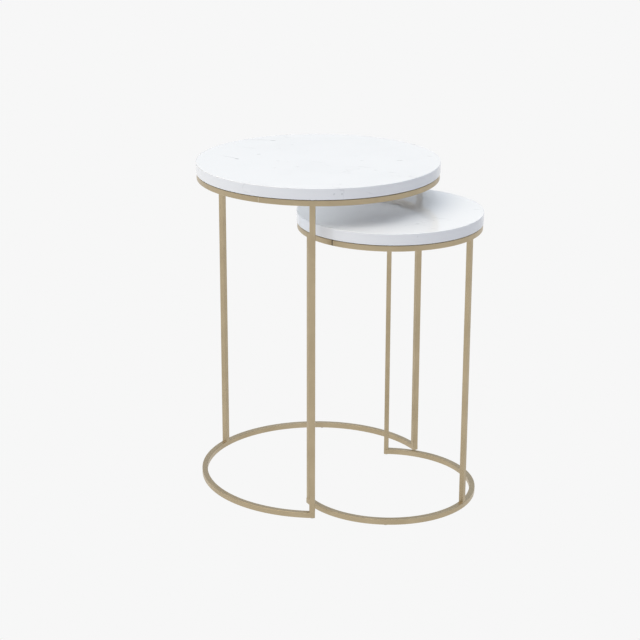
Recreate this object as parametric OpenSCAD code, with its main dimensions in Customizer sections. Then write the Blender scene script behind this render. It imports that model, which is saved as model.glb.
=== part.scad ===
// Round nesting tables: two marble tops, each on a slim frame with three legs.
// The small table slides in and out under the large one along X, on the open
// side of the large base. Z is up, +X is the way the small table comes out and
// +Y is the left-hand side. The origin is on the floor under the middle of the
// pair as it stands, with the small table partly pulled out. Millimetres.

/* [Large table] */
// Diameter of the large marble top
large_d = 400; // [340:1:600]
// Height of the large table, from the floor to the top face
large_h = 550; // [400:1:700]

/* [Nesting] */
// Distance that the small table stands out from the nested place, centre to centre
pull_out = 137; // [0:1:400]
// Clear height from the small top up to the large frame's ring
nest_gap = 37; // [10:0.5:80]
// Clear width on each side of the small top where it passes the large end legs
side_gap = 12.3; // [3:0.1:30]

/* [Marble tops] */
// Thickness of both marble tops
top_t = 18; // [14:0.5:30]
// Eased edge round the upper and lower rims
top_ease = 1; // [0.5:0.1:3]

/* [Frames] */
// Radial width of the bar in the top rings and base arcs
bar_w = 9; // [8:0.5:16]
// Height of the bar in the top rings and base arcs
bar_h = 9; // [7:0.5:16]
// Side of the square bar in the large table's legs
large_leg_w = 9; // [6:0.5:14]
// Side of the square bar in the small table's legs
small_leg_w = 8; // [6:0.5:14]
// Eased corners along every bar
bar_ease = 0.8; // [0.3:0.1:1.5]
// Distance that the marble stands out past the ring below it
reveal = 1; // [0.5:0.5:6]

/* [Top fixings] */
// Width of a fixing tab along the ring
tab_w = 20; // [16:1:40]
// Reach of a fixing tab in from the ring
tab_l = 22; // [18:1:40]
// Thickness of a fixing tab
tab_t = 3; // [2:0.5:5]
// Thread diameter of the fixing screws
screw_d = 5; // [4:0.5:6]
// Length of screw held in the threaded insert
thread_grip = 6.2; // [4:0.1:8]
// Outside diameter of the threaded inserts in the marble
insert_d = 8; // [7.5:0.5:10]
// Length of the threaded inserts
insert_l = 10; // [9:0.5:11]
// Outside diameter of the washers under the screw heads
washer_d = 12; // [10:0.5:15]
// Thickness of the washers
washer_t = 1; // [0.8:0.1:2]

/* [Pads and glides] */
// Thickness of the clear pads between ring and marble
pad_t = 1; // [0.5:0.1:3]
// Thickness of the glides under the base arcs
glide_t = 1; // [0.5:0.1:3]
// Flat face of the bar left bare on each side of a pad or a glide
pad_margin = 0.2; // [0:0.1:1.5]

/* [Hidden] */
$fn = 96;

marble = [0.93, 0.94, 0.95];
champagne = [0.68, 0.62, 0.51];
zinc = [0.72, 0.73, 0.74];
brass = [0.78, 0.65, 0.38];
clear_silicone = [0.86, 0.88, 0.88];
pale_felt = [0.72, 0.70, 0.65];

// Each table is drawn with its middle leg on +X and turned to face its place.
// The base arc runs from one end leg round the middle leg to the other, and
// the tabs sit halfway between the legs.
leg_step = 120;
tab_angles = [leg_step / 2, 180, -leg_step / 2];
pad_angles = [for (a = [0 : leg_step / 2 : 359]) a];
glide_angles = [for (a = [-leg_step : leg_step / 2 : leg_step]) a];

// Radius of the bars' centre line under a top of radius r
function bar_r(r) = r - reveal - bar_w / 2;
// Radius of the screws, halfway along the tabs
function screw_r(r) = bar_r(r) - bar_w / 2 - tab_l / 2;
// Angle from an end leg's centre to its far side, where the base arc stops
function end_angle(r, leg_w) = asin(leg_w / 2 / bar_r(r));
// Heights of the marble's underside, the ring's two faces and the tabs' underside
function top_base(h) = h - top_t;
function ring_top(h) = top_base(h) - pad_t;
function ring_base(h) = ring_top(h) - bar_h;
function tab_base(h) = ring_top(h) - bar_ease - tab_t;
arc_top = glide_t + bar_h;

// The small top is as wide as the gap between the large end legs allows, and
// as high as the large ring allows.
large_r = large_d / 2;
leg_gap = (bar_r(large_r) - large_leg_w / 2) * sin(leg_step)
    + large_leg_w / 2 * cos(leg_step);
small_r = leg_gap - side_gap;
small_h = ring_base(large_h) - nest_gap;

// The box round the pair is centred on the origin.
large_x = (large_r - max(large_r, pull_out + small_r)) / 2;
small_x = large_x + pull_out;

// Fit of the screws in the tabs and inserts, and of the inserts in the marble
tab_hole_d = screw_d + 0.6;
insert_bore_d = screw_d + 0.1;
marble_hole_d = insert_d + 0.2;
washer_hole_d = screw_d + 0.4;
// Button heads with a hexagon socket
head_d = 1.8 * screw_d;
head_h = 0.55 * screw_d;
head_ease = 0.3 * screw_d;
socket_w = 0.6 * screw_d;
socket_depth = 0.3 * screw_d;
tip_ease = 0.5;
screw_l = washer_t + tab_t + bar_ease + pad_t + thread_grip;
pad_d = bar_w - 2 * (bar_ease + pad_margin);
// Overrun that lets every cut break through its surface
cut = 1;

module at(angles, r) {
    for (a = angles)
        rotate([0, 0, a])
            translate([r, 0, 0])
                children();
}

// A square with eased corners, centred on X and standing on Y = 0
module eased(w, h, ease) {
    polygon([
        [ease - w / 2, 0], [w / 2 - ease, 0], [w / 2, ease], [w / 2, h - ease],
        [w / 2 - ease, h], [ease - w / 2, h], [-w / 2, h - ease], [-w / 2, ease]
    ]);
}

// A tube standing on Z = 0
module tube(outer_d, inner_d, h) {
    difference() {
        cylinder(d = outer_d, h = h);
        translate([0, 0, -cut])
            cylinder(d = inner_d, h = h + 2 * cut);
    }
}

// Polished disc with eased rims and three blind holes for the inserts
module marble_top(r, h) {
    color(marble)
        translate([0, 0, top_base(h)])
            difference() {
                rotate_extrude()
                    polygon([
                        [0, 0], [r - top_ease, 0], [r, top_ease],
                        [r, top_t - top_ease], [r - top_ease, top_t], [0, top_t]
                    ]);
                translate([0, 0, -cut])
                    at(tab_angles, screw_r(r))
                        cylinder(d = marble_hole_d, h = insert_l + cut);
            }
}

// Square bar bent into a full ring
module top_ring(r, h) {
    color(champagne)
        translate([0, 0, ring_base(h)])
            rotate_extrude()
                translate([bar_r(r), 0])
                    eased(bar_w, bar_h, bar_ease);
}

// The same bar bent into two thirds of a ring, ending level with the end legs
module base_arc(r, leg_w) {
    sweep = 2 * (leg_step + end_angle(r, leg_w));
    color(champagne)
        translate([0, 0, glide_t])
            rotate([0, 0, -sweep / 2])
                rotate_extrude(angle = sweep)
                    translate([bar_r(r), 0])
                        eased(bar_w, bar_h, bar_ease);
}

// Square bar standing on the base arc and welded to the ring's underside
module leg(r, h, leg_w, angle) {
    color(champagne)
        at([angle], bar_r(r))
            translate([0, -leg_w / 2, arc_top])
                linear_extrude(ring_base(h) - arc_top)
                    eased(leg_w, leg_w, bar_ease);
}

// Drilled plate welded inside the ring, its root cut to the ring's curve
module fixing_tab(r, h, angle) {
    ring_inner_r = bar_r(r) - bar_w / 2;
    color(champagne)
        translate([0, 0, tab_base(h)])
            difference() {
                intersection() {
                    rotate([0, 0, angle])
                        translate([ring_inner_r - tab_l, -tab_w / 2, 0])
                            cube([tab_l, tab_w, tab_t]);
                    cylinder(r = ring_inner_r, h = tab_t);
                }
                translate([0, 0, -cut])
                    at([angle], screw_r(r))
                        cylinder(d = tab_hole_d, h = tab_t + 2 * cut);
            }
}

// Brass sleeves glued into the marble, level with its underside
module top_inserts(r, h) {
    color(brass)
        translate([0, 0, top_base(h)])
            at(tab_angles, screw_r(r))
                tube(insert_d, insert_bore_d, insert_l);
}

// Button-head screws, driven up through washer and tab into the insert
module top_screws(r, h) {
    color(zinc)
        translate([0, 0, tab_base(h) - washer_t])
            at(tab_angles, screw_r(r))
                difference() {
                    rotate_extrude()
                        polygon([
                            [0, -head_h], [head_d / 2 - head_ease, -head_h],
                            [head_d / 2, -head_h + head_ease], [head_d / 2, 0],
                            [screw_d / 2, 0], [screw_d / 2, screw_l - tip_ease],
                            [screw_d / 2 - tip_ease, screw_l], [0, screw_l]
                        ]);
                    translate([0, 0, -head_h - cut])
                        cylinder(d = socket_w / cos(30), h = socket_depth + cut, $fn = 6);
                }
}

module top_washers(r, h) {
    color(zinc)
        translate([0, 0, tab_base(h) - washer_t])
            at(tab_angles, screw_r(r))
                tube(washer_d, washer_hole_d, washer_t);
}

// Soft dots that carry the marble on the ring
module top_pads(r, h) {
    color(clear_silicone)
        translate([0, 0, ring_top(h)])
            at(pad_angles, bar_r(r))
                cylinder(d = pad_d, h = pad_t);
}

// Felt dots under the base arc
module floor_glides(r) {
    color(pale_felt)
        at(glide_angles, bar_r(r))
            cylinder(d = pad_d, h = glide_t);
}

// The large table faces back, so that its base is open on +X.
module on_large() {
    translate([large_x, 0, 0])
        rotate([0, 0, 180])
            children();
}

module on_small() {
    translate([small_x, 0, 0])
        children();
}

on_large() marble_top(large_r, large_h);  // large_marble_top
on_large() top_ring(large_r, large_h);  // large_top_ring
on_large() base_arc(large_r, large_leg_w);  // large_base_arc
on_large() leg(large_r, large_h, large_leg_w, 0);  // large_back_leg
on_large() leg(large_r, large_h, large_leg_w, -leg_step);  // large_left_leg
on_large() leg(large_r, large_h, large_leg_w, leg_step);  // large_right_leg
on_large() fixing_tab(large_r, large_h, 180);  // large_front_tab
on_large() fixing_tab(large_r, large_h, -leg_step / 2);  // large_left_tab
on_large() fixing_tab(large_r, large_h, leg_step / 2);  // large_right_tab
on_large() top_inserts(large_r, large_h);  // large_top_inserts
on_large() top_screws(large_r, large_h);  // large_top_screws
on_large() top_washers(large_r, large_h);  // large_top_washers
on_large() top_pads(large_r, large_h);  // large_top_pads
on_large() floor_glides(large_r);  // large_floor_glides
on_small() marble_top(small_r, small_h);  // small_marble_top
on_small() top_ring(small_r, small_h);  // small_top_ring
on_small() base_arc(small_r, small_leg_w);  // small_base_arc
on_small() leg(small_r, small_h, small_leg_w, 0);  // small_front_leg
on_small() leg(small_r, small_h, small_leg_w, leg_step);  // small_left_leg
on_small() leg(small_r, small_h, small_leg_w, -leg_step);  // small_right_leg
on_small() fixing_tab(small_r, small_h, 180);  // small_back_tab
on_small() fixing_tab(small_r, small_h, leg_step / 2);  // small_left_tab
on_small() fixing_tab(small_r, small_h, -leg_step / 2);  // small_right_tab
on_small() top_inserts(small_r, small_h);  // small_top_inserts
on_small() top_screws(small_r, small_h);  // small_top_screws
on_small() top_washers(small_r, small_h);  // small_top_washers
on_small() top_pads(small_r, small_h);  // small_top_pads
on_small() floor_glides(small_r);  // small_floor_glides
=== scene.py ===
import math
from types import SimpleNamespace

import bmesh
import bpy
from mathutils import Matrix, Vector, noise


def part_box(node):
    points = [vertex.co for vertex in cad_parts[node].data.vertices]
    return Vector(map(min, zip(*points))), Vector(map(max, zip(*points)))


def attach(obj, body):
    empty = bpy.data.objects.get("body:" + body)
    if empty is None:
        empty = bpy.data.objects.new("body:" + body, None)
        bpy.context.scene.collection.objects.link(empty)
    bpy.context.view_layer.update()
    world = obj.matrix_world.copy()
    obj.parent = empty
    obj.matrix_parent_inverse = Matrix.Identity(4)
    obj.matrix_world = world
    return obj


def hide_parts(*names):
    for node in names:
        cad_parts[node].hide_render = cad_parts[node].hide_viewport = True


# Two round nesting tables: marble tops on slim frames of square bar. Every piece is built
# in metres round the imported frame, and stands for the CAD node that it is named after.

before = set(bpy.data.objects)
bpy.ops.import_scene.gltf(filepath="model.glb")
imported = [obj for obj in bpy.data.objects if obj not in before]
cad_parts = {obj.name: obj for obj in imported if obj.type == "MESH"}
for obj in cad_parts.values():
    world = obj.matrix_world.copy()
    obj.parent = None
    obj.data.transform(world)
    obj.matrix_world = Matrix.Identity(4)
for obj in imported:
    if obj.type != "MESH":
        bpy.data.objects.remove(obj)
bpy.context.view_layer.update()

MM = 0.001
TURN = 2 * math.pi

# Rounded edges
BAR_ROUND = 0.8 * MM
BAR_END_ROUND = 0.4 * MM
RIM_ROUND = 1.0 * MM
TAB_ROUND = 0.35 * MM
TAB_CORNER = 4.0 * MM
TAB_FILLET = 2.0 * MM
WASHER_ROUND = 0.25 * MM
PAD_ROUND = 0.35 * MM
GLIDE_ROUND = 0.3 * MM
HOLE_CHAMFER = 0.3 * MM
# Flat strip beside a rounded edge, which keeps the edge's shading off the rest of the flat
EDGE_STRIP = 0.15 * MM
CORNER_STEPS = 4
RIM_STEPS = 6
# Bend, in degrees, from which an edge is shaded sharp
SHARP_BEND = 35.0

# Welds: how far a tab's root is sunk in the ring, the collar round a leg's ends, the seam
# where a ring's two ends meet and the bead under a tab's root
SUNK = 0.3 * MM
COLLAR_RADIAL = 0.25 * MM
COLLAR_ALONG = 0.6 * MM
SEAM_HEIGHT = 0.16 * MM
SEAM_HALF_WIDTH = 1.1 * MM
SEAM_STEPS = 5
BEAD_R = 1.5 * MM
BEAD_RIPPLE = 0.15 * MM
BEAD_PITCH = 1.4 * MM
BEAD_STEPS = 48
BEAD_CURVE_STEPS = 5
# How blunt a bead's two ends are, and the square of the share of its size left there
BEAD_BLUNTNESS = 6
BEAD_END = 0.02

# Fixings
SCREW_D = 5.0 * MM
THREAD_PITCH = 0.8 * MM
THREAD_DEPTH = 0.42 * MM
# Levels that a thread is drawn with in each turn of a screw and of an insert's bore, and
# the levels over which a screw's thread runs out under its head
THREAD_STEPS = 8
BORE_STEPS = 4
RUNOUT_STEPS = 6
HEAD_HEIGHT = 2.75 * MM
HEAD_EDGE = 0.8 * MM
HEAD_FLAT_SHARE = 0.55
HEAD_STEPS = 8
SOCKET_WIDTH = 3.0 * MM
SOCKET_DEPTH = 1.5 * MM
SOCKET_CHAMFER = 0.25 * MM
TIP_CHAMFER = 0.5 * MM
WASHER_HOLE_D = 5.4 * MM
TAB_HOLE_D = 5.6 * MM
INSERT_BORE_D = 5.1 * MM
INSERT_HOLE_GAP = 0.1 * MM
KNURL_TEETH = 24
KNURL_DEPTH = 0.22 * MM
# The two knurled bands as shares of an insert's height, and how far a ridge leans, in
# teeth, from one end to the other
KNURL_BANDS = ((0.12, 0.45), (0.55, 0.88))
KNURL_LEAN = 2
KNURL_LEVELS = 20
GLIDE_FUZZ = 0.12 * MM
FUZZ_SCALE = 2500

RING_STEPS = 288
TOP_STEPS = 256
ROUND_STEPS = 48


# ---------------------------------------------------------------- mesh helpers


def polar(centre, radius, angle, z, aside=0.0):
    """A point at that radius and angle about the upright line through centre, moved
    sideways, towards larger angles, by aside."""
    c, s = math.cos(angle), math.sin(angle)
    return Vector((centre.x + radius * c - aside * s, centre.y + radius * s + aside * c, z))


def around(centre, radius_at, z, steps):
    """A closed loop of points round centre. radius_at gives the radius at an angle."""
    angles = [TURN * i / steps for i in range(steps)]
    return [polar(centre, radius_at(a), a, z) for a in angles]


def quarter(steps=CORNER_STEPS):
    """Angles from 0 to a quarter turn."""
    return [math.pi / 2 * i / steps for i in range(steps + 1)]


def skin(bm, loops, closed=False):
    """Joins loops that have the same number of points with quads. Returns their vertices."""
    rows = [[bm.verts.new(point) for point in loop] for loop in loops]
    following = rows[1:] + rows[:1] if closed else rows[1:]
    for row, after in zip(rows, following):
        for i in range(len(row)):
            k = (i + 1) % len(row)
            bm.faces.new((row[i], row[k], after[k], after[i]))
    return rows


def lathe(bm, centre, profile, steps, closed=False):
    """Turns (radius, z) pairs round the upright line through centre."""
    loops = [around(centre, lambda a, r=r: r, z, steps) for r, z in profile]
    return skin(bm, loops, closed)


def edges_of(loop):
    """The edges round a closed loop of vertices."""
    wanted = zip(loop, loop[1:] + loop[:1])
    return [next(e for e in a.link_edges if e.other_vert(a) == b) for a, b in wanted]


def cap(bm, outline, holes=()):
    """Closes a flat outline with faces and leaves the holes in it open."""
    if not holes:
        bm.faces.new(outline)
        return
    edges = edges_of(outline)
    for hole in holes:
        edges += edges_of(hole)
    bmesh.ops.triangle_fill(bm, use_beauty=True, use_dissolve=False, edges=edges)


def piece(cad_node, bm, material, body):
    """Makes bm the object that stands for a CAD node and rides on its body."""
    bmesh.ops.recalc_face_normals(bm, faces=bm.faces)
    mesh = bpy.data.meshes.new(f"{cad_node}_look")
    bm.to_mesh(mesh)
    bm.free()
    mesh.polygons.foreach_set("use_smooth", [True] * len(mesh.polygons))
    mesh.set_sharp_from_angle(angle=math.radians(SHARP_BEND))
    mesh.materials.append(material)
    made = bpy.data.objects.new(f"{cad_node}_look", mesh)
    bpy.context.scene.collection.objects.link(made)
    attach(made, body)
    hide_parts(cad_node)


def bar_section(half_w, half_h, corner=BAR_ROUND, shift=0.0):
    """Outline of a bar with rounded corners, as (u, v) points round (0, shift)."""
    points = []
    for start in (0, math.pi / 2, math.pi, 3 * math.pi / 2):
        mid = start + math.pi / 4
        u = math.copysign(half_w - corner, math.cos(mid))
        v = math.copysign(half_h - corner, math.sin(mid)) + shift
        arc = [
            Vector((u + corner * math.cos(start + q), v + corner * math.sin(start + q)))
            for q in quarter()
        ]
        along = Vector((-math.sin(start), math.cos(start)))
        onward = Vector((-math.cos(start), -math.sin(start)))
        points += [arc[0] - EDGE_STRIP * along, *arc, arc[-1] + EDGE_STRIP * onward]
    return points


def disc_profile(radius, low, high, rounding, steps=CORNER_STEPS):
    """(radius, z) pairs up the side of a disc with rounded rims, from its lower face to
    its upper one."""
    strip = min(EDGE_STRIP, (high - low) / 2 - rounding)
    lower = [
        (radius - rounding * (1 - math.sin(q)), low + rounding * (1 - math.cos(q)))
        for q in quarter(steps)
    ]
    lower = [(radius - rounding - strip, low), *lower, (radius, low + rounding + strip)]
    return lower + [(r, low + high - z) for r, z in reversed(lower)]


def hole_profile(radius, low, high, chamfer):
    """(radius, z) pairs up a round hole, chamfered at both ends."""
    return [
        (radius + chamfer, low),
        (radius, low + chamfer),
        (radius, high - chamfer),
        (radius + chamfer, high),
    ]


# ---------------------------------------------------------------- sizes from the frame


def measure(name, legs, tabs):
    """Sizes of one table, read from its CAD nodes. The first leg is the middle one, and
    each tab is opposite the leg that has the same place in the list."""
    t = SimpleNamespace(name=name, body=f"{name}_table")
    low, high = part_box(f"{name}_marble_top")
    t.centre = (low + high) / 2
    t.top_r = (high.y - low.y) / 2
    t.top_low, t.top_high = low.z, high.z
    low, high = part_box(f"{name}_top_ring")
    ring_outer_r = (high.y - low.y) / 2
    t.ring_low, t.ring_high = low.z, high.z
    low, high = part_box(f"{name}_base_arc")
    t.arc_low, t.arc_high = low.z, high.z
    t.legs = []
    for side in legs:
        low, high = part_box(f"{name}_{side}_leg")
        mid = (low + high) / 2 - t.centre
        t.legs.append((f"{name}_{side}_leg", math.atan2(mid.y, mid.x)))
    low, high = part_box(t.legs[0][0])
    t.leg_half = (high.y - low.y) / 2
    t.bar_r = abs((low.x + high.x) / 2 - t.centre.x)
    t.bar_half = ring_outer_r - t.bar_r
    t.ring_inner_r = t.bar_r - t.bar_half
    t.tabs = [
        (f"{name}_{side}_tab", angle + math.pi) for side, (_, angle) in zip(tabs, t.legs)
    ]
    low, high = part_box(t.tabs[0][0])
    t.tab_w, t.tab_l = high.y - low.y, high.x - low.x
    t.tab_low, t.tab_high = low.z, high.z
    t.screw_r = t.ring_inner_r - t.tab_l / 2
    return t


def round_node(table, cad_node, pitch_r):
    """Lowest z, highest z and radius of a CAD node of round fixings that stand at
    pitch_r from the table's middle, one of them on its X line."""
    low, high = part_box(cad_node)
    far = max(high.x - table.centre.x, table.centre.x - low.x)
    return low.z, high.z, far - pitch_r


# ---------------------------------------------------------------- pieces


def marble_top(table, material):
    """Polished disc with rounded rims and three blind holes for the inserts."""
    bm = bmesh.new()
    profile = disc_profile(table.top_r, table.top_low, table.top_high, RIM_ROUND, RIM_STEPS)
    rows = lathe(bm, table.centre, profile, TOP_STEPS)
    low, high, insert_r = round_node(table, f"{table.name}_top_inserts", table.screw_r)
    hole_r = insert_r + INSERT_HOLE_GAP
    mouths = []
    for _, angle in table.tabs:
        middle = polar(table.centre, table.screw_r, angle, 0)
        hole = [(hole_r + HOLE_CHAMFER, low), (hole_r, low + HOLE_CHAMFER), (hole_r, high)]
        hole_rows = lathe(bm, middle, hole, ROUND_STEPS)
        cap(bm, hole_rows[-1])
        mouths.append(hole_rows[0])
    cap(bm, rows[0], mouths)
    cap(bm, rows[-1])
    piece(f"{table.name}_marble_top", bm, material, table.body)


def top_ring(table, material, seam_angle):
    """Bar bent into a ring, its two ends butt-welded at seam_angle."""
    bm = bmesh.new()
    mid_z = (table.ring_low + table.ring_high) / 2
    seam_half = SEAM_HALF_WIDTH / table.bar_r
    even = [TURN * i / RING_STEPS for i in range(RING_STEPS)]
    near = [seam_half * i / SEAM_STEPS for i in range(-SEAM_STEPS, SEAM_STEPS + 1)]
    clear = seam_half * (1 + 1 / SEAM_STEPS)
    turns = sorted([a for a in even if clear < a < TURN - clear] + near)
    loops = []
    for turn in turns:
        raised = 0.0
        if abs(turn) < seam_half:
            raised = SEAM_HEIGHT * math.cos(math.pi / 2 * turn / seam_half) ** 2
        half = table.bar_half + raised
        section = bar_section(half, half, BAR_ROUND + raised)
        angle = seam_angle + turn
        loops.append([polar(table.centre, table.bar_r + u, angle, mid_z + v) for u, v in section])
    skin(bm, loops, closed=True)
    piece(f"{table.name}_top_ring", bm, material, table.body)


def base_arc(table, material):
    """The same bar bent round under the three legs, its ends level with the end legs."""
    bm = bmesh.new()
    mid_z = (table.arc_low + table.arc_high) / 2
    end_step = abs(table.legs[1][1] - table.legs[0][1])
    half_sweep = min(end_step, TURN - end_step) + math.asin(table.leg_half / table.bar_r)
    count = round(RING_STEPS * half_sweep / math.pi)
    round_turn = BAR_END_ROUND / table.bar_r
    inner_sweep = half_sweep - round_turn
    stations = [(inner_sweep * (2 * i / count - 1), 0.0) for i in range(count + 1)]
    for q in quarter()[1:]:
        turn = inner_sweep + round_turn * math.sin(q)
        inset = BAR_END_ROUND * (1 - math.cos(q))
        stations = [(-turn, inset), *stations, (turn, inset)]
    loops = []
    for turn, inset in stations:
        half = table.bar_half - inset
        section = bar_section(half, half, BAR_ROUND - inset)
        angle = table.legs[0][1] + turn
        loops.append([polar(table.centre, table.bar_r + u, angle, mid_z + v) for u, v in section])
    rows = skin(bm, loops)
    cap(bm, rows[0])
    cap(bm, rows[-1])
    piece(f"{table.name}_base_arc", bm, material, table.body)


def leg_loop(table, angle, z, behind, ahead, radial):
    """Section of a leg at height z, grown by three amounts: on its two sides along the
    ring, and on both sides along the radius."""
    half_v = table.leg_half + (behind + ahead) / 2
    corner = BAR_ROUND + min(behind, ahead, radial)
    section = bar_section(table.leg_half + radial, half_v, corner, (ahead - behind) / 2)
    return [polar(table.centre, table.bar_r + u, angle, z, aside=v) for u, v in section]


def leg(table, index, material):
    """Upright bar, its ends sunk past the rounded edges of the arc and the ring, with a
    thin weld collar at both. An end leg has no collar over the end of the arc."""
    cad_node, angle = table.legs[index]
    turn_from_middle = (angle - table.legs[0][1] + math.pi) % TURN - math.pi
    at_far_end = index > 0 and turn_from_middle > 0
    at_near_end = index > 0 and turn_from_middle < 0
    radial = min(COLLAR_RADIAL, table.bar_half - table.leg_half)
    bm = bmesh.new()
    foot = [(table.arc_high - BAR_ROUND, 1.0)]
    head = [(table.ring_low + BAR_ROUND, 1.0)]
    for q in quarter():
        height = COLLAR_ALONG * (1 - math.cos(q))
        foot.append((table.arc_high + height, 1 - math.sin(q)))
        head.append((table.ring_low - height, 1 - math.sin(q)))
    loops = []
    for z, growth in foot:
        behind = 0.0 if at_near_end else COLLAR_ALONG * growth
        ahead = 0.0 if at_far_end else COLLAR_ALONG * growth
        loops.append(leg_loop(table, angle, z, behind, ahead, radial * growth))
    for z, growth in reversed(head):
        along = COLLAR_ALONG * growth
        loops.append(leg_loop(table, angle, z, along, along, radial * growth))
    rows = skin(bm, loops)
    cap(bm, rows[0])
    cap(bm, rows[-1])
    piece(cad_node, bm, material, table.body)


def tab_outline(table, inset):
    """Outline of a fixing tab as (radius, aside) points: rounded inner corners, and a
    filleted root that follows the ring and is sunk in it a little."""
    half = table.tab_w / 2 - inset
    tip = table.ring_inner_r - table.tab_l + inset
    corner = TAB_CORNER - inset
    root_half = half + TAB_FILLET
    root = math.sqrt(table.ring_inner_r ** 2 - root_half ** 2)
    side = []
    for q in quarter():
        u = tip + corner * (1 - math.sin(q))
        side.append((u, half - corner * (1 - math.cos(q))))
    side.reverse()
    for q in quarter():
        u = root - TAB_FILLET * (1 - math.sin(q))
        side.append((u, half + TAB_FILLET * (1 - math.cos(q))))
    sunk_r = table.ring_inner_r + SUNK
    spread = math.asin(root_half / sunk_r)
    back = [
        (sunk_r * math.cos(spread * k), sunk_r * math.sin(spread * k))
        for k in (1, 0.5, 0, -0.5, -1)
    ]
    mirrored = [(u, -v) for u, v in reversed(side)]
    return side + back + mirrored


def weld_bead(bm, table, angle):
    """Rippled bead in the corner between a tab's root and the ring's inner face."""
    half = table.tab_w / 2
    loops = []
    for i in range(BEAD_STEPS + 1):
        v = half * (2 * i / BEAD_STEPS - 1)
        ends = math.sqrt(max(1 - (abs(v) / half) ** BEAD_BLUNTNESS, BEAD_END))
        r = (BEAD_R + BEAD_RIPPLE * math.sin(TURN * v / BEAD_PITCH)) * ends
        wall = math.sqrt(table.ring_inner_r ** 2 - v ** 2)
        corner = (wall + SUNK, table.tab_low + SUNK)
        curve = [
            (wall - r * math.cos(q), table.tab_low - r * math.sin(q))
            for q in quarter(BEAD_CURVE_STEPS)
        ]
        outline = [
            corner,
            (curve[0][0], table.tab_low + SUNK),
            *curve,
            (wall + SUNK, curve[-1][1]),
        ]
        loops.append([polar(table.centre, u, angle, z, aside=v) for u, z in outline])
    rows = skin(bm, loops)
    cap(bm, rows[0])
    cap(bm, rows[-1])


def fixing_tab(table, index, material):
    """Drilled plate welded inside the ring."""
    cad_node, angle = table.tabs[index]
    bm = bmesh.new()
    low, high = table.tab_low, table.tab_high
    heights = [
        (TAB_ROUND, low), (0.0, low + TAB_ROUND), (0.0, high - TAB_ROUND), (TAB_ROUND, high)
    ]
    loops = [
        [polar(table.centre, u, angle, z, aside=v) for u, v in tab_outline(table, inset)]
        for inset, z in heights
    ]
    rows = skin(bm, loops)
    middle = polar(table.centre, table.screw_r, angle, 0)
    hole_rows = lathe(bm, middle, hole_profile(TAB_HOLE_D / 2, low, high, TAB_ROUND), ROUND_STEPS)
    cap(bm, rows[0], [hole_rows[0]])
    cap(bm, rows[-1], [hole_rows[-1]])
    weld_bead(bm, table, angle)
    piece(cad_node, bm, material, table.body)


def hexagon_r(angle, width):
    """Radius of a hexagon of that width across its flats."""
    return width / 2 / math.cos(angle % (TURN / 6) - TURN / 12)


def thread_r(angle, z, outer_r, depth):
    """Radius of a screw thread at that angle and height."""
    phase = (z / THREAD_PITCH - angle / TURN) % 1.0
    return outer_r - depth * abs(2 * phase - 1)


def screw(bm, middle, head_low, tip, head_r):
    """Button-head screw with a hexagon socket, head down, in one skin."""
    shoulder = head_low + HEAD_HEIGHT
    loops = []

    def level(radius_at, z):
        """Adds the screw's outline at height z."""
        loops.append(around(middle, radius_at, z, ROUND_STEPS))

    def socket(share):
        """Outline of the socket, shrunk to a share of its size."""
        return lambda a: share * hexagon_r(a, SOCKET_WIDTH)

    socket_r = SOCKET_WIDTH / 2 / math.cos(TURN / 12)
    level(socket(0.5), head_low + SOCKET_DEPTH + SOCKET_CHAMFER)
    level(socket(1), head_low + SOCKET_DEPTH)
    level(socket(1), head_low + SOCKET_CHAMFER)
    level(lambda a: socket_r + SOCKET_CHAMFER, head_low)
    level(lambda a: head_r * HEAD_FLAT_SHARE, head_low)
    dome_height = HEAD_HEIGHT - HEAD_EDGE
    for q in quarter(HEAD_STEPS)[1:]:
        r = head_r * (HEAD_FLAT_SHARE + (1 - HEAD_FLAT_SHARE) * math.sin(q))
        level(lambda a, r=r: r, head_low + dome_height * (1 - math.cos(q)))
    level(lambda a: head_r, shoulder - TAB_ROUND / 2)
    level(lambda a: head_r - TAB_ROUND / 2, shoulder)
    level(lambda a: SCREW_D / 2, shoulder)
    thread_length = tip - TIP_CHAMFER - shoulder
    steps = round(thread_length / (THREAD_PITCH / THREAD_STEPS))
    for i in range(1, steps + 1):
        z = shoulder + thread_length * i / steps
        depth = THREAD_DEPTH * min(1.0, i / RUNOUT_STEPS)
        level(lambda a, z=z, depth=depth: thread_r(a, z, SCREW_D / 2, depth), z)
    level(lambda a: SCREW_D / 2 - THREAD_DEPTH - TIP_CHAMFER / 2, tip)
    rows = skin(bm, loops)
    cap(bm, rows[0])
    cap(bm, rows[-1])


def insert(bm, middle, low, high, outer_r):
    """Sleeve with a knurled outside between two plain bands, and a threaded bore."""
    steps = 4 * KNURL_TEETH
    loops = []
    groove_low, groove_high = KNURL_BANDS[0][1], KNURL_BANDS[1][0]
    for i in range(KNURL_LEVELS + 1):
        share = i / KNURL_LEVELS
        in_knurl = any(start < share < end for start, end in KNURL_BANDS)
        depth = KNURL_DEPTH if in_knurl else 0.0
        groove = KNURL_DEPTH if groove_low <= share <= groove_high else 0.0
        chamfer = HOLE_CHAMFER if i in (0, KNURL_LEVELS) else 0.0

        def knurled(a, depth=depth, inset=groove + chamfer, share=share):
            ridge = abs(2 * ((a / TURN * KNURL_TEETH + KNURL_LEAN * share) % 1.0) - 1)
            return outer_r - inset - depth * ridge

        loops.append(around(middle, knurled, low + (high - low) * share, steps))
    bore_r = INSERT_BORE_D / 2 + THREAD_DEPTH
    levels = round((high - low) / (THREAD_PITCH / BORE_STEPS))
    for i in range(levels + 1):
        z = high - (high - low) * i / levels
        chamfer = HOLE_CHAMFER if i in (0, levels) else 0.0

        def threaded(a, z=z, chamfer=chamfer):
            return thread_r(a, z, bore_r, THREAD_DEPTH) + chamfer

        loops.append(around(middle, threaded, z, steps))
    skin(bm, loops, closed=True)


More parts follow.
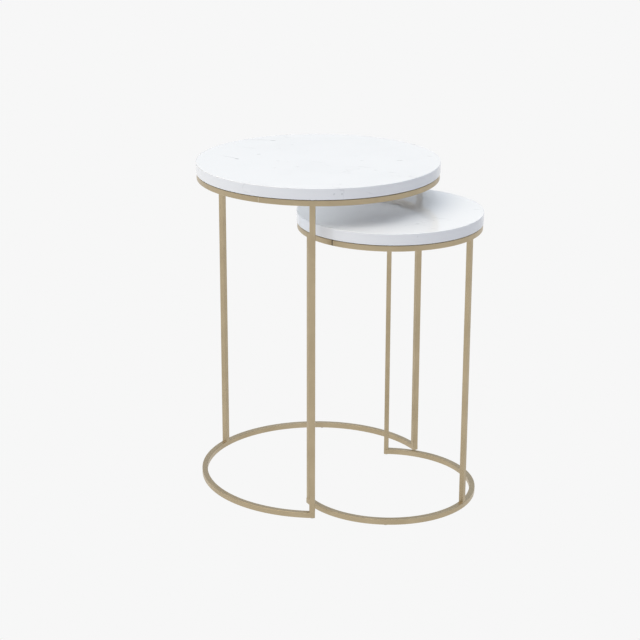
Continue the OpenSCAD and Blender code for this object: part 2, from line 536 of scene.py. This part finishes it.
def washer(bm, middle, low, high, outer_r):
    """Flat ring with rounded edges."""
    outer = disc_profile(outer_r, low, high, WASHER_ROUND)
    inner_r = WASHER_HOLE_D / 2
    inner = [(inner_r + outer_r - r, z) for r, z in reversed(outer)]
    lathe(bm, middle, outer + inner, ROUND_STEPS, closed=True)


def pad(bm, middle, low, high, radius):
    """Small clear dot, squeezed a little wider at mid height."""
    rows = lathe(bm, middle, disc_profile(radius, low, high, PAD_ROUND), ROUND_STEPS)
    cap(bm, rows[0])
    cap(bm, rows[-1])


def glide(bm, middle, low, high, radius):
    """Dot of needle felt, its edge a little fuzzy."""
    rows = lathe(bm, middle, disc_profile(radius, low, high, GLIDE_ROUND), ROUND_STEPS)
    for row in rows:
        for vertex in row:
            inward = (middle - vertex.co).xy.normalized()
            ragged = GLIDE_FUZZ * (1 + noise.noise(vertex.co * FUZZ_SCALE))
            vertex.co.xy += inward * ragged
    cap(bm, rows[0])
    cap(bm, rows[-1])


def set_of(table, what, build, pitch_r, angles, material):
    """One node of round fixings: build draws one at each of the angles."""
    cad_node = f"{table.name}_{what}"
    low, high, radius = round_node(table, cad_node, pitch_r)
    bm = bmesh.new()
    for angle in angles:
        build(bm, polar(table.centre, pitch_r, angle, 0), low, high, radius)
    piece(cad_node, bm, material, table.body)


# ---------------------------------------------------------------- materials


# Tones of the marble: its ground, its darkest marks and its honed underside
MARBLE_WHITE = (0.905, 0.91, 0.92, 1)
MARBLE_GREY = (0.30, 0.31, 0.325, 1)
MARBLE_HONED = (0.62, 0.62, 0.61, 1)
# How far the marble's markings are pulled about, level with the top
MARBLE_WARP = (0.016, 0.016, 0.0)
# Share of the grey in its clouds, its veins and its specks
CLOUD_GREY = 0.035
VEIN_GREY = 0.16
SPECK_GREY = 0.3

# Tones of the champagne coat, of the painted shade on its upward faces, and of the line
# where a ring's weld shows through it
CHAMPAGNE_DEEP = (0.46, 0.37, 0.235, 1)
CHAMPAGNE_PALE = (0.505, 0.41, 0.265, 1)
CHAMPAGNE_PIT = (0.25, 0.20, 0.13, 1)
# Painted shade: the darker, greyer tone laid on the coat's upward faces
CHAMPAGNE_TOP_SHADE = (0.25, 0.21, 0.15, 1)
SEAM_PALE = (0.70, 0.63, 0.49, 1)
SEAM_DARK = (0.10, 0.08, 0.06, 1)

# The two tones of each of the other materials
BRASS_BRIGHT = (0.72, 0.52, 0.22, 1)
BRASS_DULL = (0.55, 0.38, 0.16, 1)
ZINC_GREY = (0.60, 0.61, 0.62, 1)
ZINC_BLUE = (0.50, 0.52, 0.56, 1)
SILICONE_CLEAR = (0.84, 0.86, 0.86, 1)
SILICONE_HAZY = (0.74, 0.76, 0.76, 1)
FELT_DARK = (0.36, 0.33, 0.28, 1)
FELT_PALE = (0.62, 0.58, 0.50, 1)


def shader(name):
    """A new node material and its Principled shader."""
    material = bpy.data.materials.new(name)
    material.use_nodes = True
    tree = material.node_tree
    return material, tree, tree.nodes["Principled BSDF"]


def add(tree, kind, inputs=None, **settings):
    """Adds a node with its settings and the values or links of its inputs."""
    made = tree.nodes.new(kind)
    for key, value in settings.items():
        setattr(made, key, value)
    for key, value in (inputs or {}).items():
        if isinstance(value, bpy.types.NodeSocket):
            tree.links.new(value, made.inputs[key])
        else:
            made.inputs[key].default_value = value
    return made


def vector_node(tree, operation, a, b=(0.0, 0.0, 0.0)):
    """A vector sum, product or length. Its outputs are Vector and Value."""
    return add(tree, "ShaderNodeVectorMath", {0: a, 1: b}, operation=operation)


def place(tree, offset):
    """Coordinates in metres on the piece, measured from offset."""
    coordinates = add(tree, "ShaderNodeTexCoord").outputs["Object"]
    return vector_node(tree, "SUBTRACT", coordinates, offset).outputs["Vector"]


def noise_value(tree, vector, scale, detail=4.0, roughness=0.5, distortion=0.0):
    """Cloudy noise. Its outputs are Fac, which stays near a half, and Color."""
    inputs = {
        "Vector": vector, "Scale": scale, "Detail": detail,
        "Roughness": roughness, "Distortion": distortion,
    }
    return add(tree, "ShaderNodeTexNoise", inputs)


def math_node(tree, operation, a, b=0.0):
    """The result of one sum on values or sockets."""
    return add(tree, "ShaderNodeMath", {0: a, 1: b}, operation=operation).outputs[0]


def ramp(tree, value, low, high, to_low=0.0, to_high=1.0):
    """Value carried smoothly from low..high to to_low..to_high, and held outside them."""
    inputs = {
        "Value": value, "From Min": low, "From Max": high, "To Min": to_low, "To Max": to_high
    }
    return add(tree, "ShaderNodeMapRange", inputs, interpolation_type="SMOOTHSTEP").outputs[0]


def blend_colour(tree, share, a, b):
    """Colour a, turned into colour b by share."""
    mix = add(tree, "ShaderNodeMix", data_type="RGBA")
    for socket, value in ((mix.inputs[0], share), (mix.inputs[6], a), (mix.inputs[7], b)):
        if isinstance(value, bpy.types.NodeSocket):
            tree.links.new(value, socket)
        else:
            socket.default_value = value
    return mix.outputs[2]


def bump(tree, surface, height, distance):
    """Roughens a surface by height, a value from 0 to 1, over that distance in metres."""
    inputs = {"Height": height, "Strength": 1.0, "Distance": distance}
    made = add(tree, "ShaderNodeBump", inputs)
    tree.links.new(made.outputs[0], surface.inputs["Normal"])


def white_marble(name, centre, marks):
    """Polished white marble: soft clouds, broken thin veins, a few darker marks and
    specks. Its underside is honed. Each mark is (x, y, z, half length, half width,
    direction in degrees, strength), in millimetres from the middle of the top."""
    material, tree, surface = shader(name)
    here = place(tree, centre)
    warp = noise_value(tree, here, 28.0, 3.0).outputs["Color"]
    warp = vector_node(tree, "SUBTRACT", warp, (0.5, 0.5, 0.5)).outputs["Vector"]
    warp = vector_node(tree, "MULTIPLY", warp, MARBLE_WARP).outputs["Vector"]
    bent = vector_node(tree, "ADD", here, warp).outputs["Vector"]

    cloud = noise_value(tree, bent, 9.0, 5.0, 0.55).outputs["Fac"]
    cloud = ramp(tree, cloud, 0.42, 0.72)
    ridge = noise_value(tree, bent, 11.0, 3.0, 0.5, 0.4).outputs["Fac"]
    ridge = math_node(tree, "ABSOLUTE", math_node(tree, "SUBTRACT", ridge, 0.5))
    vein = ramp(tree, ridge, 0.0, 0.012, 1.0, 0.0)
    broken = ramp(tree, noise_value(tree, here, 17.0, 3.0).outputs["Fac"], 0.54, 0.68)
    vein = math_node(tree, "MULTIPLY", vein, broken)
    cells = add(tree, "ShaderNodeTexVoronoi", {"Vector": here, "Scale": 60.0}, feature="F1")
    rare = add(tree, "ShaderNodeSeparateColor", {0: cells.outputs["Color"]}).outputs[0]
    speck = ramp(tree, cells.outputs["Distance"], 0.02, 0.07, 1.0, 0.0)
    speck = math_node(tree, "MULTIPLY", speck, math_node(tree, "GREATER_THAN", rare, 0.93))

    grey = math_node(tree, "MULTIPLY", cloud, CLOUD_GREY)
    grey = math_node(tree, "MAXIMUM", grey, math_node(tree, "MULTIPLY", vein, VEIN_GREY))
    grey = math_node(tree, "MAXIMUM", grey, math_node(tree, "MULTIPLY", speck, SPECK_GREY))
    mottle = noise_value(tree, here, 420.0, 3.0, 0.6).outputs["Fac"]
    mottle = ramp(tree, mottle, 0.35, 0.6, 0.7, 1.3)
    for x, y, z, half_length, half_width, direction, strength in marks:
        mapping = add(tree, "ShaderNodeMapping", {"Vector": bent}, vector_type="TEXTURE")
        mapping.inputs["Location"].default_value = (x * MM, y * MM, z * MM)
        mapping.inputs["Rotation"].default_value = (0, 0, math.radians(direction))
        size = (half_length * MM, half_width * MM, half_width * MM)
        mapping.inputs["Scale"].default_value = size
        length = vector_node(tree, "LENGTH", mapping.outputs[0])
        mark = ramp(tree, length.outputs["Value"], 0.3, 1.0, strength, 0.0)
        mark = math_node(tree, "MULTIPLY", mark, mottle)
        grey = math_node(tree, "MAXIMUM", grey, mark)

    facing = add(tree, "ShaderNodeNewGeometry").outputs["Normal"]
    facing = add(tree, "ShaderNodeSeparateXYZ", {0: facing}).outputs["Z"]
    under = math_node(tree, "LESS_THAN", facing, -0.7)
    colour = blend_colour(tree, grey, MARBLE_WHITE, MARBLE_GREY)
    colour = blend_colour(tree, math_node(tree, "MULTIPLY", under, 0.25), colour, MARBLE_HONED)
    tree.links.new(colour, surface.inputs["Base Color"])
    fine = noise_value(tree, here, 180.0, 3.0).outputs["Fac"]
    polish = ramp(tree, fine, 0.3, 0.7, 0.035, 0.06)
    rough = math_node(tree, "MAXIMUM", polish, math_node(tree, "MULTIPLY", under, 0.5))
    tree.links.new(rough, surface.inputs["Roughness"])
    pits = ramp(tree, noise_value(tree, here, 900.0, 2.0).outputs["Fac"], 0.3, 0.45)
    bump(tree, surface, math_node(tree, "MULTIPLY", pits, ramp(tree, under, 0, 1, 0.08, 1)), 0.00006)
    surface.inputs["IOR"].default_value = 1.49
    return material


def champagne_metal(name, seam=None):
    """Satin champagne coat on steel bar: a fine grain, slow drifts of tone, a slightly
    uneven gloss, and a painted shade that makes upward faces darker and greyer. A seam is
    (middle of the ring, angle, half width, colour): the dressed weld shows through the
    coat as a thin line across the bar."""
    material, tree, surface = shader(name)
    here = place(tree, (0, 0, 0))
    drift = noise_value(tree, here, 24.0, 3.0).outputs["Fac"]
    grain = noise_value(tree, here, 2600.0, 2.0, 0.6).outputs["Fac"]
    colour = blend_colour(tree, ramp(tree, drift, 0.3, 0.7), CHAMPAGNE_DEEP, CHAMPAGNE_PALE)
    dark = ramp(tree, grain, 0.25, 0.75, 0.14, 0.0)
    colour = blend_colour(tree, dark, colour, CHAMPAGNE_PIT)
    # Painted shade: upward faces are blended towards a darker, greyer tone
    upward = add(tree, "ShaderNodeNewGeometry").outputs["Normal"]
    upward = add(tree, "ShaderNodeSeparateXYZ", {0: upward}).outputs["Z"]
    top_shade = ramp(tree, upward, 0.85, 0.97, 0.0, 0.12)
    colour = blend_colour(tree, top_shade, colour, CHAMPAGNE_TOP_SHADE)
    if seam:
        middle, angle, half_width, tint = seam
        out = (math.cos(angle), math.sin(angle), 0.0)
        across = (-math.sin(angle), math.cos(angle), 0.0)
        arm = place(tree, middle)
        reach = vector_node(tree, "DOT_PRODUCT", arm, out).outputs["Value"]
        aside = vector_node(tree, "DOT_PRODUCT", arm, across).outputs["Value"]
        aside = math_node(tree, "ABSOLUTE", aside)
        line = ramp(tree, aside, half_width * 0.4, half_width, 0.85, 0.0)
        line = math_node(tree, "MULTIPLY", line, math_node(tree, "GREATER_THAN", reach))
        colour = blend_colour(tree, line, colour, tint)
    tree.links.new(colour, surface.inputs["Base Color"])
    gloss = noise_value(tree, here, 90.0, 3.0).outputs["Fac"]
    tree.links.new(ramp(tree, gloss, 0.3, 0.7, 0.31, 0.39), surface.inputs["Roughness"])
    surface.inputs["Metallic"].default_value = 0.75
    bump(tree, surface, grain, 0.00002)
    return material


def turned_brass():
    """Machined brass with fine turning marks and a few dull patches."""
    material, tree, surface = shader("turned_brass")
    here = place(tree, (0, 0, 0))
    turning = {"Vector": here, "Scale": 1400.0, "Distortion": 0.4}
    lines = add(tree, "ShaderNodeTexWave", turning, bands_direction="Z")
    dull = ramp(tree, noise_value(tree, here, 260.0, 4.0).outputs["Fac"], 0.4, 0.7)
    colour = blend_colour(tree, dull, BRASS_BRIGHT, BRASS_DULL)
    tree.links.new(colour, surface.inputs["Base Color"])
    tree.links.new(ramp(tree, dull, 0, 1, 0.22, 0.42), surface.inputs["Roughness"])
    surface.inputs["Metallic"].default_value = 1.0
    bump(tree, surface, lines.outputs["Fac"], 0.00001)
    return material


def zinc_plate():
    """Bright zinc plating with a faint spangle."""
    material, tree, surface = shader("zinc_plate")
    here = place(tree, (0, 0, 0))
    spangle = add(tree, "ShaderNodeTexVoronoi", {"Vector": here, "Scale": 900.0}).outputs["Distance"]
    patch = ramp(tree, noise_value(tree, here, 320.0, 4.0).outputs["Fac"], 0.35, 0.7)
    colour = blend_colour(tree, patch, ZINC_GREY, ZINC_BLUE)
    tree.links.new(colour, surface.inputs["Base Color"])
    tree.links.new(ramp(tree, spangle, 0.1, 0.7, 0.24, 0.38), surface.inputs["Roughness"])
    surface.inputs["Metallic"].default_value = 1.0
    bump(tree, surface, spangle, 0.000008)
    return material


def clear_silicone():
    """Soft translucent silicone, hazy with fine dust."""
    material, tree, surface = shader("clear_silicone")
    here = place(tree, (0, 0, 0))
    haze = noise_value(tree, here, 700.0, 4.0).outputs["Fac"]
    colour = blend_colour(tree, ramp(tree, haze, 0.3, 0.7), SILICONE_CLEAR, SILICONE_HAZY)
    tree.links.new(colour, surface.inputs["Base Color"])
    tree.links.new(ramp(tree, haze, 0.3, 0.7, 0.42, 0.6), surface.inputs["Roughness"])
    surface.inputs["Transmission Weight"].default_value = 0.55
    surface.inputs["IOR"].default_value = 1.41
    bump(tree, surface, haze, 0.00002)
    return material


def needle_felt():
    """Dense pale felt: matted fibres in two tones with a soft sheen."""
    material, tree, surface = shader("needle_felt")
    here = place(tree, (0, 0, 0))
    stretch = {"Vector": here, "Scale": (1.0, 0.25, 1.0)}
    stretched = add(tree, "ShaderNodeMapping", stretch).outputs[0]
    fibres = noise_value(tree, stretched, 3800.0, 5.0, 0.7, 1.5).outputs["Fac"]
    crossing = noise_value(tree, here, 2400.0, 5.0, 0.7, 2.0).outputs["Fac"]
    mat = math_node(tree, "MULTIPLY", math_node(tree, "ADD", fibres, crossing), 0.5)
    colour = blend_colour(tree, ramp(tree, mat, 0.35, 0.65), FELT_DARK, FELT_PALE)
    tree.links.new(colour, surface.inputs["Base Color"])
    surface.inputs["Roughness"].default_value = 0.95
    surface.inputs["Sheen Weight"].default_value = 0.3
    bump(tree, surface, mat, 0.00015)
    return material


# ---------------------------------------------------------------- the tables

# Marks in the marble, in millimetres from the middle of the top: x, y, z, half length,
# half width, direction in degrees, strength
LARGE_MARKS = [
    (-165, 72, 9, 26, 2.2, 20, 0.30),
    (-140, 80, 9, 7, 3.0, 35, 0.55),
    (-132, -62, 9, 20, 2.0, -10, 0.30),
    (-116, -67, 9, 7, 3.0, -20, 0.55),
    (-103, -20, 9, 5, 4.0, 30, 0.25),
    (-50, -46, 9, 5, 1.6, 25, 0.32),
    (-28, -89, 9, 5, 1.5, 30, 0.22),
    (2, -65, 9, 6, 1.8, 32, 0.34),
    (64, 31, 9, 5, 1.6, 30, 0.42),
    (116, 64, 9, 9, 2.0, 33, 0.42),
    (-96, 70, 9, 5, 2.2, 30, 0.25),
    (121, -15, 9, 4, 3.5, 40, 0.22),
    (147, -16, 9, 12, 2.0, 15, 0.18),
    (74, 185, 9, 12, 3.0, -20, 0.35),
    (141, 119, 9, 6, 2.5, 30, 0.22),
    (121, -124, 9, 5, 1.6, 40, 0.25),
    (126, -155, 0, 2.5, 2.5, 0, 0.30),
    (137, -146, 0, 2.5, 2.5, 0, 0.34),
    (169, -107, -3, 2.5, 2.5, 0, 0.30),
]
SMALL_MARKS = [
    (81, -54, 9, 6, 1.8, 35, 0.45),
    (112, -8, 9, 5, 1.5, 25, 0.25),
    (115, 75, 9, 10, 2.0, 35, 0.25),
    (117, -65, 9, 6, 1.6, 40, 0.22),
    (54, 27, 9, 6, 1.6, 30, 0.18),
    (-60, 40, 9, 14, 2.0, 15, 0.28),
    (-20, 96, 9, 9, 2.0, -25, 0.28),
    (-95, -30, 9, 12, 1.8, 40, 0.25),
    (124, -84, 5, 2.0, 2.0, 0, 0.34),
    (109, -103, 4, 2.0, 2.0, 0, 0.28),
]

# Where each ring was welded shut: angle, half width of the line and its colour
LARGE_SEAM = (math.radians(-85.0), 0.5 * MM, SEAM_PALE)
SMALL_SEAM = (math.radians(-96.5), 1.8 * MM, SEAM_DARK)


def build_table(table, marks, seam, finishes):
    """All the pieces of one table. The base arc has no glide in its gap, opposite the
    middle leg."""
    marble = white_marble(f"{table.name}_white_marble", table.centre, marks)
    marble_top(table, marble)
    ring_metal = champagne_metal(f"{table.name}_ring_metal", (table.centre, *seam))
    top_ring(table, ring_metal, seam[0])
    base_arc(table, finishes.metal)
    for index in range(len(table.legs)):
        leg(table, index, finishes.metal)
        fixing_tab(table, index, finishes.metal)
    tab_angles = [angle for _, angle in table.tabs]
    sixths = [table.legs[0][1] + TURN * i / 6 for i in range(6)]
    under_arc = sixths[:3] + sixths[4:]
    for what, build, pitch_r, angles, material, slot in (
        ("top_inserts", insert, table.screw_r, tab_angles, finishes.brass, "brass_insert"),
        ("top_screws", screw, table.screw_r, tab_angles, finishes.zinc, "zinc_fixing"),
        ("top_washers", washer, table.screw_r, tab_angles, finishes.zinc, "zinc_fixing"),
        ("top_pads", pad, table.bar_r, sixths, finishes.silicone, "clear_silicone"),
        ("floor_glides", glide, table.bar_r, under_arc, finishes.felt, "felt"),
    ):
        set_of(table, what, build, pitch_r, angles, material)


finishes = SimpleNamespace(
    metal=champagne_metal("champagne_metal"),
    brass=turned_brass(),
    zinc=zinc_plate(),
    silicone=clear_silicone(),
    felt=needle_felt(),
)
large = measure("large", legs=("back", "left", "right"), tabs=("front", "right", "left"))
small = measure("small", legs=("front", "left", "right"), tabs=("back", "right", "left"))
build_table(large, LARGE_MARKS, LARGE_SEAM, finishes)
build_table(small, SMALL_MARKS, SMALL_SEAM, finishes)


# ---------------------------------------------------------------- stage, light, camera

BACKDROP = (0.930, 0.930, 0.930, 1)
WALL_WHITE = (0.63, 0.655, 0.68, 1)
WALL_R = 30.0
WALL_HEIGHTS = (2.6, 17.3)
WALL_STEPS = 96
FLOOR_R = 40.0
FLOOR_STEPS = 64

# A white studio, by degrees above the horizon: a great soft light overhead, darker walls
# at eye level and a bright floor
SKY_STRENGTH = 4.0
ROOM = [
    (-90, (1.3, 1.4, 1.5)),
    (-30, (0.8, 0.75, 0.75)),
    (0, (0.05, 0.05, 0.1)),
    (20, (0.05, 0.1, 0.15)),
    (45, (0.9, 1.0, 1.15)),
    (70, (1.7, 1.85, 2.0)),
    (90, (2.7, 2.75, 2.9)),
]
# What is added on the window side, all of it in the middle and none opposite
WINDOW_SIDE = [
    (-90, (0.0, 0.0, 0.0)),
    (-30, (0.8, 1.0, 1.1)),
    (0, (0.25, 0.2, 0.2)),
    (20, (0.1, 0.05, 0.0)),
    (45, (0.6, 0.35, 0.05)),
    (70, (1.1, 0.7, 0.05)),
    (90, (0.0, 0.0, 0.0)),
]
WINDOW_AZIMUTH = math.radians(225.0)


def stage_piece(name, bm):
    """Makes bm a piece of the studio. Returns it, and the empty tree of its material."""
    mesh = bpy.data.meshes.new(name)
    bm.to_mesh(mesh)
    bm.free()
    made = bpy.data.objects.new(name, mesh)
    bpy.context.scene.collection.objects.link(made)
    material = bpy.data.materials.new(name)
    material.use_nodes = True
    material.node_tree.nodes.clear()
    mesh.materials.append(material)
    return made, material.node_tree


def build_floor():
    """Pale floor that glows at the backdrop's own level, so that it takes no shadow. The
    metal reflects it. It is clear from below, so that the underside can be seen."""
    bm = bmesh.new()
    outline = around(Vector((0, 0, 0)), lambda a: FLOOR_R, 0.0, FLOOR_STEPS)
    cap(bm, [bm.verts.new(point) for point in outline])
    floor, tree = stage_piece("floor", bm)
    glow = add(tree, "ShaderNodeEmission", {"Color": BACKDROP, "Strength": 1.0})
    clear = add(tree, "ShaderNodeBsdfTransparent")
    below = add(tree, "ShaderNodeNewGeometry").outputs["Backfacing"]
    mix = add(tree, "ShaderNodeMixShader", {0: below, 1: glow.outputs[0], 2: clear.outputs[0]})
    add(tree, "ShaderNodeOutputMaterial", {"Surface": mix.outputs[0]})
    floor.visible_diffuse = False
    floor.visible_shadow = False


def build_wall():
    """White wall all round, well away. Only polished and metal faces reflect it: it lights
    nothing, and the even backdrop stands for it to the eye."""
    bm = bmesh.new()
    lathe(bm, Vector((0, 0, 0)), [(WALL_R, z) for z in WALL_HEIGHTS], WALL_STEPS)
    wall, tree = stage_piece("wall", bm)
    glow = add(tree, "ShaderNodeEmission", {"Color": WALL_WHITE, "Strength": 1.0})
    add(tree, "ShaderNodeOutputMaterial", {"Surface": glow.outputs[0]})
    wall.visible_camera = False
    wall.visible_diffuse = False
    wall.visible_transmission = False
    wall.visible_shadow = False


def gradient(tree, height, stops):
    """Colour by elevation: stops are (degrees above the horizon, (r, g, b)), and colours
    between them are blended. All come out divided by SKY_STRENGTH, which the background
    puts back, because a ramp can't hold values above 1."""
    share = math_node(tree, "DIVIDE", math_node(tree, "ARCSINE", height), math.pi)
    share = math_node(tree, "ADD", share, 0.5)
    node = add(tree, "ShaderNodeValToRGB", {0: share})
    elements = node.color_ramp.elements
    while len(elements) < len(stops):
        elements.new(0.5)
    for element, (degrees, _) in zip(elements, stops):
        element.position = degrees / 180 + 0.5
    for element, (_, colour) in zip(elements, stops):
        element.color = (*(c / SKY_STRENGTH for c in colour), 1)
    return node.outputs["Color"]


def build_world():
    """Even backdrop to the eye, and the white studio for lighting."""
    world = bpy.data.worlds.new("studio")
    world.use_nodes = True
    tree = world.node_tree
    tree.nodes.clear()
    direction = add(tree, "ShaderNodeTexCoord").outputs["Generated"]
    parts = add(tree, "ShaderNodeSeparateXYZ", {0: direction}).outputs
    azimuth = math_node(tree, "ARCTAN2", parts["Y"], parts["X"])
    near = math_node(tree, "COSINE", math_node(tree, "SUBTRACT", azimuth, WINDOW_AZIMUTH))
    near = math_node(tree, "DIVIDE", math_node(tree, "ADD", near, 1.0), 2.0)
    near = math_node(tree, "POWER", near, 2.0)
    room = gradient(tree, parts["Z"], ROOM)
    window = gradient(tree, parts["Z"], WINDOW_SIDE)
    window = add(tree, "ShaderNodeVectorMath", {0: window, 3: near}, operation="SCALE").outputs[0]
    total = add(tree, "ShaderNodeVectorMath", {0: room, 1: window}, operation="ADD").outputs[0]
    light = add(tree, "ShaderNodeBackground", {"Color": total, "Strength": SKY_STRENGTH})
    seen = add(tree, "ShaderNodeBackground", {"Color": BACKDROP, "Strength": 1.0})
    to_eye = add(tree, "ShaderNodeLightPath").outputs["Is Camera Ray"]
    mix = add(tree, "ShaderNodeMixShader", {0: to_eye, 1: light.outputs[0], 2: seen.outputs[0]})
    add(tree, "ShaderNodeOutputWorld", {"Surface": mix.outputs[0]})
    bpy.context.scene.world = world


def build_camera(position, turn, down, roll, lens, shift):
    """Camera that looks along +Y turned by turn about Z, and down by down."""
    data = bpy.data.cameras.new("camera")
    data.sensor_width = 36.0
    data.lens = lens
    data.shift_x, data.shift_y = shift
    data.clip_end = 200.0
    camera = bpy.data.objects.new("camera", data)
    heading = Matrix.Rotation(math.radians(turn), 4, "Z")
    tilt = Matrix.Rotation(math.radians(90 - down), 4, "X")
    lean = Matrix.Rotation(math.radians(roll), 4, "Z")
    camera.matrix_world = Matrix.Translation(position) @ heading @ tilt @ lean
    bpy.context.scene.collection.objects.link(camera)
    bpy.context.scene.camera = camera


build_floor()
build_wall()
build_world()
build_camera(
    position=Vector((1.376, -2.231, 1.155)),
    turn=33.39,
    down=17.38,
    roll=-0.15,
    lens=93.03,
    shift=(0.0431, -0.0480),
)
bpy.context.scene.view_settings.view_transform = "Standard"
